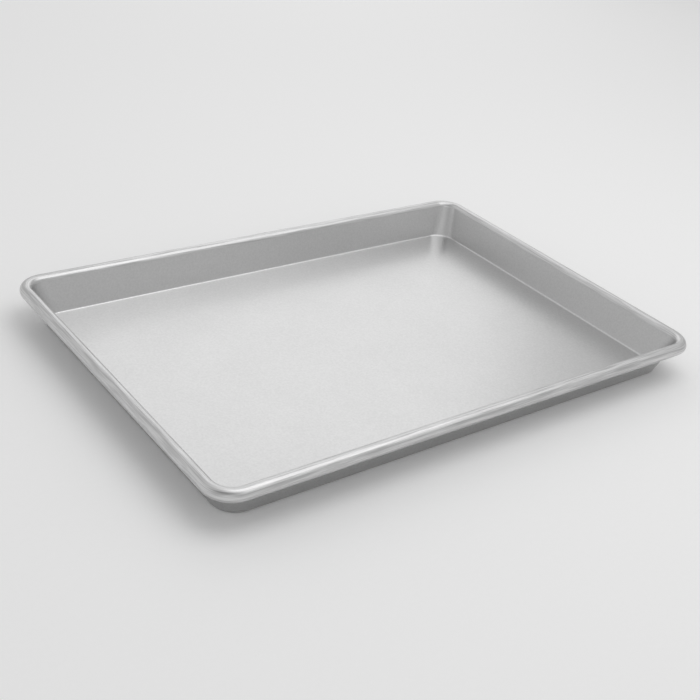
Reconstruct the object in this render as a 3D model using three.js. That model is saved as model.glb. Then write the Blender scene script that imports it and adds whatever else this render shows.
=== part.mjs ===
// A baking sheet pan: one drawn blank of coated steel sheet whose edge is rolled round a steel wire.
// Millimetres, +Z up, +X along the pan. The origin is the middle of the underside.
import * as THREE from "three";

// Sizes over the rim
const PAN_LENGTH = 398;
const PAN_WIDTH = 277.5;
const PAN_HEIGHT = 27.3;

// The sheet and its bends
const SHEET = 0.8;
const WALL_FOOT_INSET = 14; // from the rim's outermost line in to where wall and underside would cross
const BEND_RADIUS = 0.6; // inside the pan, round the floor
const FLOOR_CORNER_RADIUS = 14; // in plan, at the edge of the flat floor
const RIM_CORNER_RADIUS = 19.6; // in plan, at the rim's outermost line

// The rolled rim
const WIRE_DIAMETER = 6.4;
const WIRE_CLEARANCE = 0.3; // between wire and sheet, all round
const CURL_SLIT = 0.6; // between the sheet's free edge and the wall it curls back to

// How finely the round stretches are cut
const CORNER_STEPS = 8;
const BEND_STEPS = 5;
const CURL_STEPS = 24;
const WIRE_SIDES = 16;

const coatedSteel = new THREE.MeshStandardMaterial({ color: 0xcfd0d1, roughness: 0.4, metalness: 0.9 });
const drawnWire = new THREE.MeshStandardMaterial({ color: 0x8f9092, roughness: 0.5, metalness: 1 });

// The section is worked out in a plane across the rim: out is the distance past the rim's outermost line,
// so it is negative inside the pan, and up is the height over the surface the pan stands on.
const curlInside = WIRE_DIAMETER / 2 + WIRE_CLEARANCE;
const beadRadius = curlInside + SHEET;
const bead = { out: -beadRadius, up: PAN_HEIGHT - beadRadius };

// The wall's outer face passes through its foot and touches the inside of the curl.
const run = WALL_FOOT_INSET - beadRadius;
const wallLean = Math.acos(curlInside / Math.hypot(run, bead.up)) - Math.atan2(bead.up, run);
const bendTurn = Math.PI / 2 - wallLean;
const bendOutside = BEND_RADIUS + SHEET;
const floorEdge = -WALL_FOOT_INSET - bendOutside * Math.tan(bendTurn / 2);

// The curl runs over the wire until its free edge is a slit's width from the wall.
const curlOpening = Math.acos((curlInside - CURL_SLIT) / beadRadius);
const curlTurn = 2 * Math.PI - curlOpening;

// Stations along the middle of the sheet, from the edge of the flat floor to the free edge of the curl.
// Each has the direction to the sheet's underside and its corner radius in plan. On the bends the corner
// radius grows with the station, and up the wall it goes over from the floor's corner to the rim's.
function sheetStations() {
  const stations = [];
  const middle = SHEET / 2;
  for (let step = 0; step <= BEND_STEPS; step++) {
    const turn = (bendTurn * step) / BEND_STEPS;
    const side = { out: Math.sin(turn), up: -Math.cos(turn) };
    const reach = BEND_RADIUS + middle;
    const out = floorEdge + reach * side.out;
    const corner = FLOOR_CORNER_RADIUS + reach * side.out;
    stations.push({ out, up: bendOutside + reach * side.up, side, corner });
  }
  for (let step = 0; step <= CURL_STEPS; step++) {
    const angle = Math.PI - wallLean - (curlTurn * step) / CURL_STEPS;
    const side = { out: -Math.cos(angle), up: -Math.sin(angle) };
    const reach = curlInside + middle;
    const out = bead.out - reach * side.out;
    stations.push({ out, up: bead.up - reach * side.up, side, corner: RIM_CORNER_RADIUS + out });
  }
  return stations;
}

// A rounded rectangle round the pan, out past the rim's outermost line by the given distance.
function roundedRing({ out, up, corner }) {
  const points = [];
  const centreX = PAN_LENGTH / 2 + out - corner;
  const centreY = PAN_WIDTH / 2 + out - corner;
  for (let quarter = 0; quarter < 4; quarter++) {
    const signX = quarter === 0 || quarter === 3 ? 1 : -1;
    const signY = quarter < 2 ? 1 : -1;
    for (let step = 0; step <= CORNER_STEPS; step++) {
      const angle = (Math.PI / 2) * (quarter + step / CORNER_STEPS);
      const x = signX * centreX + corner * Math.cos(angle);
      const y = signY * centreY + corner * Math.sin(angle);
      points.push(new THREE.Vector3(x, y, up));
    }
  }
  return points;
}

// A skin over rings of equal count. An open row of rings is closed by flat ends, a looped one by itself.
function skin(rings, looped) {
  const count = rings[0].length;
  const index = [];
  const bands = looped ? rings.length : rings.length - 1;
  for (let band = 0; band < bands; band++) {
    const near = band * count;
    const far = ((band + 1) % rings.length) * count;
    for (let k = 0; k < count; k++) {
      const next = (k + 1) % count;
      index.push(near + k, far + k, far + next, near + k, far + next, near + next);
    }
  }
  if (!looped) {
    const last = (rings.length - 1) * count;
    const flat = rings[0].map((point) => new THREE.Vector2(point.x, point.y));
    for (const [a, b, c] of THREE.ShapeUtils.triangulateShape(flat, [])) index.push(a, b, c);
    const flatBelow = rings[rings.length - 1].map((point) => new THREE.Vector2(point.x, point.y));
    for (const [a, b, c] of THREE.ShapeUtils.triangulateShape(flatBelow, [])) {
      index.push(last + a, last + c, last + b);
    }
  }
  const geometry = new THREE.BufferGeometry().setFromPoints(rings.flat());
  geometry.setIndex(index);
  geometry.computeVertexNormals();
  return geometry;
}

// Floor, walls and rolled rim: up the inside of the sheet, round its free edge and back down the outside.
function panBody() {
  const stations = sheetStations();
  const face = (distance) => (station) =>
    roundedRing({
      out: station.out + distance * station.side.out,
      up: station.up + distance * station.side.up,
      corner: station.corner + distance * station.side.out,
    });
  const inside = stations.map(face(-SHEET / 2));
  const outside = stations.map(face(SHEET / 2)).reverse();
  return new THREE.Mesh(skin([...inside, ...outside], false), coatedSteel);
}

// The wire inside the curl, its ends welded into one ring.
function rimWire() {
  const beadCorner = RIM_CORNER_RADIUS + bead.out;
  const rings = [];
  for (let step = 0; step < WIRE_SIDES; step++) {
    const angle = (-2 * Math.PI * step) / WIRE_SIDES;
    const reach = (WIRE_DIAMETER / 2) * Math.cos(angle);
    const rise = (WIRE_DIAMETER / 2) * Math.sin(angle);
    rings.push(roundedRing({ out: bead.out + reach, up: bead.up + rise, corner: beadCorner + reach }));
  }
  return new THREE.Mesh(skin(rings, true), drawnWire);
}

const pan = new THREE.Group();
const pieces = { pan_body: panBody(), rim_wire: rimWire() };
for (const [name, mesh] of Object.entries(pieces)) {
  mesh.name = name;
  pan.add(mesh);
}

export default pan;
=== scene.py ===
import math
import bpy
from mathutils import Matrix, Vector


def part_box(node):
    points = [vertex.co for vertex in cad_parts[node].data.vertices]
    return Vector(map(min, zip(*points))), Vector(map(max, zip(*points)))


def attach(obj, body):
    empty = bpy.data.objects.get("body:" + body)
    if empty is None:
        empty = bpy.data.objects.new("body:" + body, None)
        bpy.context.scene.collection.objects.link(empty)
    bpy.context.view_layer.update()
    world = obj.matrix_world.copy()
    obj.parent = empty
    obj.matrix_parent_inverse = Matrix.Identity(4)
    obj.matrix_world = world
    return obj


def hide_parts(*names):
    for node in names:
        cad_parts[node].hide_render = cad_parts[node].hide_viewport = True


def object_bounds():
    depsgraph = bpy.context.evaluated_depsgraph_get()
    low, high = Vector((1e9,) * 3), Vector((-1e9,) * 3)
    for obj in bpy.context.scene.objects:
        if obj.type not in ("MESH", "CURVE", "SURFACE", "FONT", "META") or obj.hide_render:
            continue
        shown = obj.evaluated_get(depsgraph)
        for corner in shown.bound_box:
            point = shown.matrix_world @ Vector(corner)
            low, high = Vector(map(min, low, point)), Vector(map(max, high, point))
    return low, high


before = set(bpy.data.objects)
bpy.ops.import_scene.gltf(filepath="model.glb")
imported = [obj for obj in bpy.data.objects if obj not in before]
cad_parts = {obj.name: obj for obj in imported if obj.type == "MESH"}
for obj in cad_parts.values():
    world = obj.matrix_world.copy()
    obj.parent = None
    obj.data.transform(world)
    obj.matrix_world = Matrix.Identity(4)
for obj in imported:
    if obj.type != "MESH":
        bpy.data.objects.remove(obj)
cadLow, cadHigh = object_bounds()
print("frame loaded with", ", ".join(sorted(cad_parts)))

mm = 0.001  # one millimetre in Blender's metres


# sRGB hex to the linear colour that the shaders take
def linear(hexColour):
    channels = [int(hexColour[k:k + 2], 16) / 255 for k in (1, 3, 5)]
    return [c / 12.92 if c <= 0.04045 else ((c + 0.055) / 1.055) ** 2.4 for c in channels] + [1.0]


# adds a node, sets its properties, then sets or links its inputs
def addNode(tree, kind, inputs=None, **settings):
    node = tree.nodes.new(kind)
    for name, value in settings.items():
        setattr(node, name, value)
    for key, value in (inputs or {}).items():
        if isinstance(value, bpy.types.NodeSocket):
            tree.links.new(value, node.inputs[key])
        else:
            node.inputs[key].default_value = value
    return node


def newMaterial(name):
    material = bpy.data.materials.new(name)
    material.use_nodes = True
    material.node_tree.nodes.clear()
    return material, material.node_tree


# the photograph's view
view = {
    "heading": math.radians(40.173),  # from +Y towards +X
    "pitch": math.radians(29.791),  # down
    "roll": math.radians(7.812),
    "aim": Vector((-10.6, -4.4, 0.0)) * mm,
    "distance": 805.4 * mm,
    "lens": 58.92,
}


def makeCamera():
    lens = bpy.data.cameras.new("photoCamera")
    lens.lens = view["lens"]
    camera = bpy.data.objects.new("photoCamera", lens)
    bpy.context.scene.collection.objects.link(camera)
    turn = Matrix.Rotation(-view["heading"], 4, "Z")
    turn = turn @ Matrix.Rotation(math.pi / 2 - view["pitch"], 4, "X")
    turn = turn @ Matrix.Rotation(view["roll"], 4, "Z")
    back = turn.to_3x3() @ Vector((0, 0, 1))
    camera.matrix_world = Matrix.Translation(view["aim"] + back * view["distance"]) @ turn
    bpy.context.scene.camera = camera


makeCamera()
print("camera set")

# a pale floor, a softbox overhead, a lit panel behind the pan, and a plain room that is darker high up
# behind the camera and a little lighter low in front of the pan and to its left
studio = {
    "floorSize": 8.0,
    "floorGap": 0.1 * mm,  # keeps the floor clear of the pan's underside
    "floorTones": ("#fafafa", "#fcfcfc"),
    "fibreScale": 3 * mm,
    "roomTone": "#ffffff",
    "lowRoom": 0.60,  # strength at the horizon and overhead
    "highRoom": 0.70,
    "patches": {  # soft spots in the room, in degrees, with their share of its brightness
        "darkCloth": {"bearing": 232, "height": 56, "inner": 8, "outer": 36, "share": 0.4},
        "leftWall": {"bearing": 300, "height": 14, "inner": 12, "outer": 36, "share": 1.2},
        "frontCard": {"bearing": 217, "height": 9, "inner": 6, "outer": 30, "share": 1.6},
    },
    "softboxes": {  # bearing and height in degrees, sizes in metres, brightness over the room's
        "topSoftbox": {
            "bearing": 122, "height": 72, "distance": 1.0, "width": 0.8, "depth": 0.9, "bright": 1.0,
        },
        "backPanel": {
            "bearing": 34, "height": 30, "distance": 1.5, "width": 1.0, "depth": 1.0, "bright": 0.52,
        },
    },
}


def makeFloor():
    half = studio["floorSize"] / 2
    under = -studio["floorGap"]
    corners = [(-half, -half, under), (half, -half, under), (half, half, under), (-half, half, under)]
    mesh = bpy.data.meshes.new("studioFloor")
    mesh.from_pydata(corners, [], [(0, 1, 2, 3)])
    floor = bpy.data.objects.new("studioFloor", mesh)
    bpy.context.scene.collection.objects.link(floor)
    material, tree = newMaterial("mattWhiteBoard")  # pressed paper board, white and matt
    coords = addNode(tree, "ShaderNodeTexCoord").outputs["Object"]
    fibres = addNode(tree, "ShaderNodeTexNoise", {"Vector": coords, "Scale": 1 / studio["fibreScale"]})
    tone = addNode(tree, "ShaderNodeMix", {
        "Factor": fibres.outputs[0],
        "A": linear(studio["floorTones"][0]),
        "B": linear(studio["floorTones"][1]),
    }, data_type="RGBA")
    shader = addNode(tree, "ShaderNodeBsdfDiffuse", {"Color": tone.outputs["Result"]})
    addNode(tree, "ShaderNodeOutputMaterial", {"Surface": shader.outputs[0]})
    mesh.materials.append(material)


# a direction from a compass bearing and a height over the horizon, both in degrees
def towards(bearing, height):
    level = math.cos(math.radians(height))
    return Vector((
        level * math.sin(math.radians(bearing)),
        level * math.cos(math.radians(bearing)),
        math.sin(math.radians(height)),
    ))


def makeLights():
    for name, box in studio["softboxes"].items():
        lamp = bpy.data.lights.new(name, "AREA")
        lamp.shape = "RECTANGLE"
        lamp.size = box["width"]
        lamp.size_y = box["depth"]
        lamp.energy = box["bright"] * math.pi * box["width"] * box["depth"]
        light = bpy.data.objects.new(name, lamp)
        light.location = towards(box["bearing"], box["height"]) * box["distance"]
        light.rotation_euler = (math.radians(90 - box["height"]), 0, math.radians(180 - box["bearing"]))
        light.visible_camera = False  # out of the picture in every view
        bpy.context.scene.collection.objects.link(light)
    world = bpy.data.worlds.new("studioRoom")
    world.use_nodes = True
    tree = world.node_tree
    tree.nodes.clear()
    toRoom = addNode(tree, "ShaderNodeTexCoord").outputs["Generated"]
    upward = addNode(tree, "ShaderNodeSeparateXYZ", {0: toRoom}).outputs["Z"]
    level = addNode(tree, "ShaderNodeMapRange", {
        "Value": upward,
        "To Min": studio["lowRoom"],
        "To Max": studio["highRoom"],
    })
    bright = level.outputs[0]
    for patch in studio["patches"].values():
        facing = addNode(tree, "ShaderNodeVectorMath", {
            0: toRoom, 1: towards(patch["bearing"], patch["height"]),
        }, operation="DOT_PRODUCT")
        share = addNode(tree, "ShaderNodeMapRange", {
            "Value": facing.outputs["Value"],
            "From Min": math.cos(math.radians(patch["outer"])),
            "From Max": math.cos(math.radians(patch["inner"])),
            "To Min": 1.0,  # the room is unchanged outside the patch
            "To Max": patch["share"],
        }, interpolation_type="SMOOTHSTEP")
        bright = addNode(
            tree, "ShaderNodeMath", {0: bright, 1: share.outputs[0]}, operation="MULTIPLY"
        ).outputs[0]
    room = addNode(tree, "ShaderNodeBackground", {
        "Color": linear(studio["roomTone"]), "Strength": bright,
    })
    addNode(tree, "ShaderNodeOutputWorld", {"Surface": room.outputs[0]})
    bpy.context.scene.world = world
    bpy.context.scene.view_settings.view_transform = "Standard"


makeFloor()
makeLights()
print("studio lit")

# how a section becomes a piece
sweepSizes = {
    "sharpAngle": math.radians(40),  # an edge that bends more than this stays crisp
    "seamGap": 0.001 * mm,  # points nearer than this become one
}
sweepMarks = ("across", "curled", "roughness", "dull", "cornerDull")  # what section points tell the finish and its painted shade


# carries a section round the pan: its points hold (out past the rim line, corner radius, height)
def makeSweepTree():
    tree = bpy.data.node_groups.new("sweepRoundCorners", "GeometryNodeTree")
    for name, kind in {
        "Section": "NodeSocketGeometry",
        "Half Length": "NodeSocketFloat",
        "Half Width": "NodeSocketFloat",
        "Section Points": "NodeSocketInt",
        "Corner Steps": "NodeSocketInt",
        "Sharp Angle": "NodeSocketFloat",
        "Seam Gap": "NodeSocketFloat",
        "Finish": "NodeSocketMaterial",
    }.items():
        tree.interface.new_socket(name, in_out="INPUT", socket_type=kind)
    tree.interface.new_socket("Mesh", in_out="OUTPUT", socket_type="NodeSocketGeometry")
    given = addNode(tree, "NodeGroupInput").outputs

    perCorner = addNode(
        tree, "FunctionNodeIntegerMath", {0: given["Corner Steps"], 1: 1}, operation="ADD"
    ).outputs[0]
    columns = addNode(
        tree, "FunctionNodeIntegerMath", {0: perCorner, 1: 4, 2: 1}, operation="MULTIPLY_ADD"
    ).outputs[0]  # the last column lies on the first
    grid = addNode(
        tree, "GeometryNodeMeshGrid", {"Vertices X": given["Section Points"], "Vertices Y": columns}
    ).outputs["Mesh"]
    index = addNode(tree, "GeometryNodeInputIndex").outputs[0]
    row = addNode(
        tree, "FunctionNodeIntegerMath", {0: index, 1: columns}, operation="DIVIDE_FLOOR"
    ).outputs[0]
    column = addNode(
        tree, "FunctionNodeIntegerMath", {0: index, 1: columns}, operation="MODULO"
    ).outputs[0]
    quarter = addNode(
        tree, "FunctionNodeIntegerMath", {0: column, 1: perCorner}, operation="DIVIDE_FLOOR"
    ).outputs[0]
    step = addNode(
        tree, "FunctionNodeIntegerMath", {0: column, 1: perCorner}, operation="MODULO"
    ).outputs[0]

    spot = addNode(tree, "GeometryNodeInputPosition").outputs[0]
    station = addNode(
        tree, "GeometryNodeSampleIndex", {"Geometry": given["Section"], "Value": spot, "Index": row},
        data_type="FLOAT_VECTOR",
    ).outputs[0]
    parts = addNode(tree, "ShaderNodeSeparateXYZ", {0: station}).outputs
    out, corner, up = parts["X"], parts["Y"], parts["Z"]

    part = addNode(
        tree, "ShaderNodeMath", {0: step, 1: given["Corner Steps"]}, operation="DIVIDE"
    ).outputs[0]
    share = addNode(tree, "ShaderNodeMath", {0: quarter, 1: part}, operation="ADD").outputs[0]
    angle = addNode(tree, "ShaderNodeMath", {0: share, 1: math.pi / 2}, operation="MULTIPLY").outputs[0]
    quarterAngle = addNode(
        tree, "ShaderNodeMath", {0: quarter, 1: math.pi / 2}, operation="MULTIPLY"
    ).outputs[0]
    arm = addNode(
        tree, "ShaderNodeVectorRotate", {"Vector": (1, 0, 0), "Angle": angle}, rotation_type="Z_AXIS"
    ).outputs[0]
    signs = addNode(
        tree, "ShaderNodeVectorRotate", {"Vector": (1, 1, 0), "Angle": quarterAngle}, rotation_type="Z_AXIS"
    ).outputs[0]
    inward = addNode(tree, "ShaderNodeMath", {0: out, 1: corner}, operation="SUBTRACT").outputs[0]
    centreX = addNode(
        tree, "ShaderNodeMath", {0: given["Half Length"], 1: inward}, operation="ADD"
    ).outputs[0]
    centreY = addNode(
        tree, "ShaderNodeMath", {0: given["Half Width"], 1: inward}, operation="ADD"
    ).outputs[0]
    centre = addNode(tree, "ShaderNodeCombineXYZ", {"X": centreX, "Y": centreY}).outputs[0]
    lift = addNode(tree, "ShaderNodeCombineXYZ", {"Z": up}).outputs[0]
    reach = addNode(
        tree, "ShaderNodeVectorMath", {"Vector": arm, "Scale": corner}, operation="SCALE"
    ).outputs[0]
    raised = addNode(tree, "ShaderNodeVectorMath", {0: reach, 1: lift}, operation="ADD").outputs[0]
    place = addNode(
        tree, "ShaderNodeVectorMath", {0: signs, 1: centre, 2: raised}, operation="MULTIPLY_ADD"
    ).outputs[0]
    mesh = addNode(tree, "GeometryNodeSetPosition", {"Geometry": grid, "Position": place}).outputs[0]

    bulge = addNode(tree, "ShaderNodeMath", {0: part, 1: math.pi}, operation="MULTIPLY").outputs[0]
    middle = addNode(tree, "ShaderNodeMath", {0: bulge}, operation="SINE").outputs[0]
    mesh = addNode(
        tree, "GeometryNodeStoreNamedAttribute", {"Geometry": mesh, "Name": "corner", "Value": middle},
        data_type="FLOAT", domain="POINT",
    ).outputs[0]  # 0 along the sides, 1 in the middle of a corner
    for name in sweepMarks:
        kept = addNode(
            tree, "GeometryNodeInputNamedAttribute", {"Name": name}, data_type="FLOAT"
        ).outputs[0]
        value = addNode(
            tree, "GeometryNodeSampleIndex", {"Geometry": given["Section"], "Value": kept, "Index": row},
            data_type="FLOAT",
        ).outputs[0]
        mesh = addNode(
            tree, "GeometryNodeStoreNamedAttribute", {"Geometry": mesh, "Name": name, "Value": value},
            data_type="FLOAT", domain="POINT",
        ).outputs[0]
    closed = addNode(
        tree, "GeometryNodeMergeByDistance", {"Geometry": mesh, "Distance": given["Seam Gap"]}
    ).outputs[0]
    smooth = addNode(tree, "GeometryNodeSetShadeSmooth", {"Geometry": closed}).outputs[0]
    bend = addNode(tree, "GeometryNodeInputMeshEdgeAngle").outputs["Unsigned Angle"]
    sharp = addNode(
        tree, "FunctionNodeCompare", {"A": bend, "B": given["Sharp Angle"]}, operation="GREATER_THAN"
    ).outputs[0]
    creased = addNode(
        tree, "GeometryNodeSetShadeSmooth", {"Geometry": smooth, "Selection": sharp, "Shade Smooth": False},
        domain="EDGE",
    ).outputs[0]
    real = addNode(tree, "GeometryNodeRealizeInstances", {"Geometry": creased}).outputs[0]
    done = addNode(
        tree, "GeometryNodeSetMaterial", {"Geometry": real, "Material": given["Finish"]}
    ).outputs[0]
    addNode(tree, "NodeGroupOutput", {"Mesh": done})
    return tree


sweepTree = makeSweepTree()


# section points are (out, corner, up), in order round the section, and marks has values for each of them
def sweep(name, section, marks, cornerSteps, finish):
    sectionMesh = bpy.data.meshes.new(name + "Section")
    sectionMesh.from_pydata(section, [], [])
    across = [0.0]
    for before, after in zip(section, section[1:]):
        across.append(across[-1] + math.hypot(after[0] - before[0], after[2] - before[2]))
    for mark, values in {"across": across, **marks}.items():
        attribute = sectionMesh.attributes.new(mark, "FLOAT", "POINT")
        attribute.data.foreach_set("value", [float(value) for value in values])
    holder = bpy.data.objects.new(name + "Section", sectionMesh)
    bpy.context.scene.collection.objects.link(holder)
    modifier = holder.modifiers.new("sweep", "NODES")
    modifier.node_group = sweepTree
    inputs = {
        "Half Length": cadHigh.x,
        "Half Width": cadHigh.y,
        "Section Points": len(section),
        "Corner Steps": cornerSteps,
        "Sharp Angle": sweepSizes["sharpAngle"],
        "Seam Gap": sweepSizes["seamGap"],
        "Finish": finish,
    }
    for item in sweepTree.interface.items_tree:
        if item.name in inputs:
            modifier[item.identifier] = inputs[item.name]
    evaluated = holder.evaluated_get(bpy.context.evaluated_depsgraph_get())
    mesh = bpy.data.meshes.new_from_object(evaluated)
    mesh.name = name
    bpy.data.objects.remove(holder)
    piece = bpy.data.objects.new(name, mesh)
    bpy.context.scene.collection.objects.link(piece)
    return piece


# the pan's sheet
sheetSizes = {
    "thickness": 0.8 * mm,
    "footInset": 14 * mm,  # rim line in to where wall and underside would cross
    "bendRadius": 1.2 * mm,  # inside, round the floor, wide enough for its light line to show
    "floorCorner": 14 * mm,  # in plan, at the edge of the flat floor
    "rimCorner": 19.6 * mm,  # in plan, at the rim's outermost line
    "wireClearance": 0.3 * mm,
    "curlSlit": 0.6 * mm,
    "bendSteps": 8,
    "curlSteps": 60,
    "cornerSteps": 28,
    "guard": 0.4 * mm,  # flat strip beside each bend that keeps the shading flat
}
wireLow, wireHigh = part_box("rim_wire")
wireRadius = (wireHigh.z - wireLow.z) / 2


# stations along the middle of the sheet: (out, up, corner, then which way the underside lies, stretch)
def sheetLine():
    size = sheetSizes
    middle = size["thickness"] / 2
    curlInside = wireRadius + size["wireClearance"]
    beadRadius = curlInside + size["thickness"]
    beadOut, beadUp = -beadRadius, cadHigh.z - beadRadius
    run = size["footInset"] - beadRadius
    lean = math.acos(curlInside / math.hypot(run, beadUp)) - math.atan2(beadUp, run)
    bendTurn = math.pi / 2 - lean
    bendUp = size["bendRadius"] + size["thickness"]
    floorEdge = -size["footInset"] - bendUp * math.tan(bendTurn / 2)
    curlTurn = 2 * math.pi - math.acos((curlInside - size["curlSlit"]) / beadRadius)

    line = [(floorEdge - size["guard"], middle, size["floorCorner"] - size["guard"], 0, -1, "floor")]
    reach = size["bendRadius"] + middle
    for step in range(size["bendSteps"] + 1):
        turn = bendTurn * step / size["bendSteps"]
        sideOut, sideUp = math.sin(turn), -math.cos(turn)
        out = reach * sideOut
        line.append((
            floorEdge + out, bendUp + reach * sideUp, size["floorCorner"] + out, sideOut, sideUp, "floor",
        ))

    curl = []
    reach = curlInside + middle
    for step in range(size["curlSteps"] + 1):
        angle = math.pi - lean - curlTurn * step / size["curlSteps"]
        out = beadOut + reach * math.cos(angle)
        up = beadUp + reach * math.sin(angle)
        curl.append((out, up, size["rimCorner"] + out, -math.cos(angle), -math.sin(angle), "rim"))
    foot, top = line[-1], curl[0]
    guardShare = size["guard"] / math.hypot(top[0] - foot[0], top[1] - foot[1])
    for along in (guardShare, 1 - guardShare):
        between = [low + (high - low) * along for low, high in zip(foot[:-1], top[:-1])]
        line.append((*between, "wall"))
    return line + curl


sheetFinish = {
    "tones": ("#cecece", "#d6d6d6"),  # of the grain
    "rimTones": ("#c2c2c2", "#dadada"),  # along the streaks of the curl
    "paintedShadeTint": "#e9e9e9",  # painted shade: darkens the outside of the sheet, where the outer wall reflects the floor's shadow, and the walls at the drawn corners
    "cornerDull": 1.0,  # share of the painted shade on the walls at the drawn corners
    "grain": 1.4 * mm,  # the real grain is finer, and is drawn this coarse so that it shows
    "grainDetail": 2,
    "grainHeight": 0.03 * mm,
    "clouds": 40 * mm,  # slow changes of the smoothness
    "cloudDetail": 3,
    "inside": {"floor": 0.30, "wall": 0.32, "rim": 0.35},  # roughness
    "outside": {"floor": 0.30, "wall": 0.18, "rim": 0.35},
    "sheetSpread": 0.04,  # how far the roughness wanders
    "rimSpread": 0.08,
    "streakLength": 25 * mm,
    "streakWidth": 0.7 * mm,  # drawn wider than the real marks so that they show
    "streakDetail": 2,
    "streakHeight": 0.10 * mm,
    "grainSpan": (0.3, 0.7),  # where nearly all of the noise lies
    "streakSpan": (0.4, 0.6),
}


# the section's points, from the floor's middle up the inside, round the free edge and back outside
def sheetOutline():
    middle = sheetSizes["thickness"] / 2
    line = sheetLine()
    spine = (-cadHigh.y, middle, 0, 0, -1, "floor")  # the floor closes on a line along its middle
    points = []
    marks = {"curled": [], "roughness": [], "dull": [], "cornerDull": []}
    for side, distance, stations in (
        ("inside", -middle, [spine, *line]), ("outside", middle, [*reversed(line), spine]),
    ):
        for out, up, corner, sideOut, sideUp, stretch in stations:
            points.append((out + distance * sideOut, corner + distance * sideOut, up + distance * sideUp))
            marks["curled"].append(stretch == "rim")
            marks["roughness"].append(sheetFinish[side][stretch])
            # painted shade over the whole outside of the sheet
            marks["dull"].append(side == "outside")
            # painted shade on the walls, strongest in the middle of each drawn corner
            marks["cornerDull"].append(sheetFinish["cornerDull"] if stretch == "wall" else 0)
    return points, marks
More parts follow.
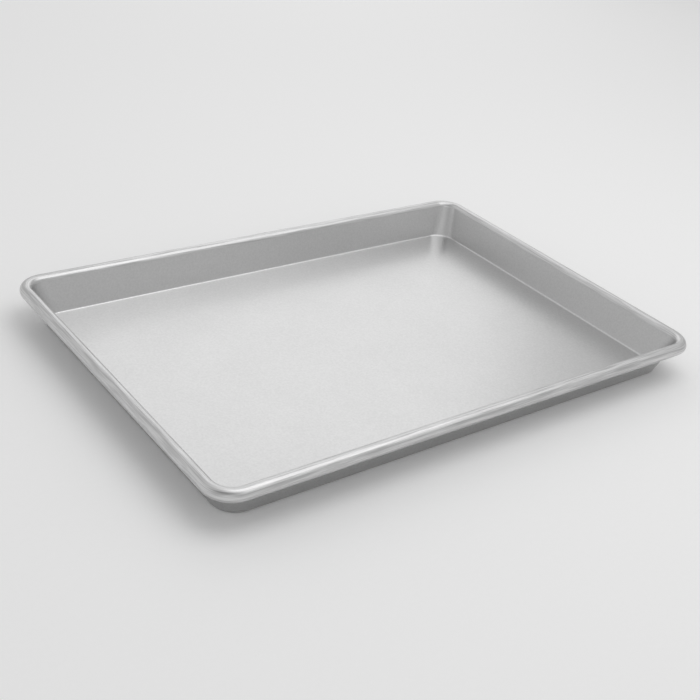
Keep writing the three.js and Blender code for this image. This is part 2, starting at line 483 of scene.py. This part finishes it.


# aluminised steel sheet, rolled: a pale satin metal with a fine sandy grain, streaked along its length
# where the edge was curled, with painted shade that darkens its outside and its walls at the drawn corners
def satinSteel():
    size = sheetFinish
    material, tree = newMaterial("aluminisedSteelRolled")
    coords = addNode(tree, "ShaderNodeTexCoord").outputs["Object"]
    across, curled, roughness, dull, cornerDull, corner = (
        addNode(tree, "ShaderNodeAttribute", attribute_name=name).outputs["Fac"]
        for name in (*sweepMarks, "corner")
    )
    grain = addNode(tree, "ShaderNodeTexNoise", {
        "Vector": coords, "Scale": 1 / size["grain"], "Detail": size["grainDetail"],
    })
    clouds = addNode(tree, "ShaderNodeTexNoise", {
        "Vector": coords, "Scale": 1 / size["clouds"], "Detail": size["cloudDetail"],
    })
    lines = addNode(tree, "ShaderNodeMath", {0: across, 1: 1 / size["streakWidth"]}, operation="MULTIPLY")
    drawn = addNode(tree, "ShaderNodeCombineXYZ", {"Z": lines.outputs[0]})
    flat = (1 / size["streakLength"], 1 / size["streakLength"], 0)
    run = addNode(
        tree, "ShaderNodeVectorMath", {0: coords, 1: flat, 2: drawn.outputs[0]}, operation="MULTIPLY_ADD"
    )
    streaks = addNode(tree, "ShaderNodeTexNoise", {
        "Vector": run.outputs[0], "Scale": 1.0, "Detail": size["streakDetail"],
    })
    grainSpan = {"From Min": size["grainSpan"][0], "From Max": size["grainSpan"][1]}
    streakSpan = {"From Min": size["streakSpan"][0], "From Max": size["streakSpan"][1]}
    sheetWander = addNode(tree, "ShaderNodeMapRange", {
        "Value": clouds.outputs[0],
        "To Min": -size["sheetSpread"] / 2,
        "To Max": size["sheetSpread"] / 2,
        **grainSpan,
    })
    rimWander = addNode(tree, "ShaderNodeMapRange", {
        "Value": streaks.outputs[0],
        "To Min": -size["rimSpread"] / 2,
        "To Max": size["rimSpread"] / 2,
        **streakSpan,
    })
    wander = addNode(tree, "ShaderNodeMix", {
        "Factor": curled, "A": sheetWander.outputs[0], "B": rimWander.outputs[0],
    })
    rough = addNode(tree, "ShaderNodeMath", {0: roughness, 1: wander.outputs[0]}, operation="ADD")
    specks = addNode(tree, "ShaderNodeMapRange", {"Value": grain.outputs[0], **grainSpan})
    stripes = addNode(tree, "ShaderNodeMapRange", {"Value": streaks.outputs[0], **streakSpan})
    speckled = addNode(tree, "ShaderNodeMix", {
        "Factor": specks.outputs[0],
        "A": linear(size["tones"][0]),
        "B": linear(size["tones"][1]),
    }, data_type="RGBA")
    striped = addNode(tree, "ShaderNodeMix", {
        "Factor": stripes.outputs[0],
        "A": linear(size["rimTones"][0]),
        "B": linear(size["rimTones"][1]),
    }, data_type="RGBA")
    tone = addNode(tree, "ShaderNodeMix", {
        "Factor": curled, "A": speckled.outputs["Result"], "B": striped.outputs["Result"],
    }, data_type="RGBA")
    # painted shade: the grey tint darkens the outside of the sheet and, by the corner share, the walls at
    # the drawn corners
    paintedShade = addNode(
        tree, "ShaderNodeMath", {0: corner, 1: cornerDull, 2: dull},
        operation="MULTIPLY_ADD", use_clamp=True,
    )
    colour = addNode(tree, "ShaderNodeMix", {
        "Factor": paintedShade.outputs[0],
        "A": tone.outputs["Result"],
        "B": linear(size["paintedShadeTint"]),
    }, data_type="RGBA", blend_type="MULTIPLY")
    sandy = addNode(
        tree, "ShaderNodeMath", {0: grain.outputs[0], 1: size["grainHeight"]}, operation="MULTIPLY"
    )
    rolled = addNode(
        tree, "ShaderNodeMath", {0: streaks.outputs[0], 1: size["streakHeight"]}, operation="MULTIPLY"
    )
    relief = addNode(tree, "ShaderNodeMix", {
        "Factor": curled, "A": sandy.outputs[0], "B": rolled.outputs[0],
    })
    bump = addNode(tree, "ShaderNodeBump", {
        "Height": relief.outputs[0], "Strength": 1.0, "Distance": 1.0,  # the relief is in metres
    })
    shader = addNode(tree, "ShaderNodeBsdfPrincipled", {
        "Base Color": colour.outputs["Result"],
        "Metallic": 1.0,
        "Roughness": rough.outputs[0],
        "Normal": bump.outputs[0],
    })
    addNode(tree, "ShaderNodeOutputMaterial", {"Surface": shader.outputs[0]})
    return material


pan = sweep("panSheet", *sheetOutline(), sheetSizes["cornerSteps"], satinSteel())
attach(pan, "root")
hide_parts("pan_body")
print("pan made:", len(pan.data.polygons), "faces")

# the wire inside the curl
wireSizes = {"sides": 32, "cornerSteps": 28}
wireFinish = {
    "tones": ("#a0a0a2", "#b2b2b4"),
    "roughness": (0.4, 0.6),
    "marks": 1.5 * mm,
    "markDetail": 2,
}


# drawn steel wire: grey and slightly dull, with small marks from the die
def wireSteel():
    material, tree = newMaterial("steelWireDrawn")
    coords = addNode(tree, "ShaderNodeTexCoord").outputs["Object"]
    marks = addNode(tree, "ShaderNodeTexNoise", {
        "Vector": coords, "Scale": 1 / wireFinish["marks"], "Detail": wireFinish["markDetail"],
    })
    tone = addNode(tree, "ShaderNodeMix", {
        "Factor": marks.outputs[0],
        "A": linear(wireFinish["tones"][0]),
        "B": linear(wireFinish["tones"][1]),
    }, data_type="RGBA")
    rough = addNode(tree, "ShaderNodeMapRange", {
        "Value": marks.outputs[0],
        "To Min": wireFinish["roughness"][0],
        "To Max": wireFinish["roughness"][1],
    })
    shader = addNode(tree, "ShaderNodeBsdfPrincipled", {
        "Base Color": tone.outputs["Result"],
        "Metallic": 1.0,
        "Roughness": rough.outputs[0],
    })
    addNode(tree, "ShaderNodeOutputMaterial", {"Surface": shader.outputs[0]})
    return material


# the wire's round section
def wireOutline():
    wireOut = wireHigh.x - wireRadius - cadHigh.x
    wireUp = (wireHigh.z + wireLow.z) / 2
    points = []
    for step in range(wireSizes["sides"] + 1):
        angle = -2 * math.pi * (step % wireSizes["sides"]) / wireSizes["sides"]
        out = wireOut + wireRadius * math.cos(angle)
        points.append((out, sheetSizes["rimCorner"] + out, wireUp + wireRadius * math.sin(angle)))
    return points


wire = sweep("rimWire", wireOutline(), {}, wireSizes["cornerSteps"], wireSteel())
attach(wire, "root")
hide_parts("rim_wire")
print("wire made:", len(wire.data.polygons), "faces")
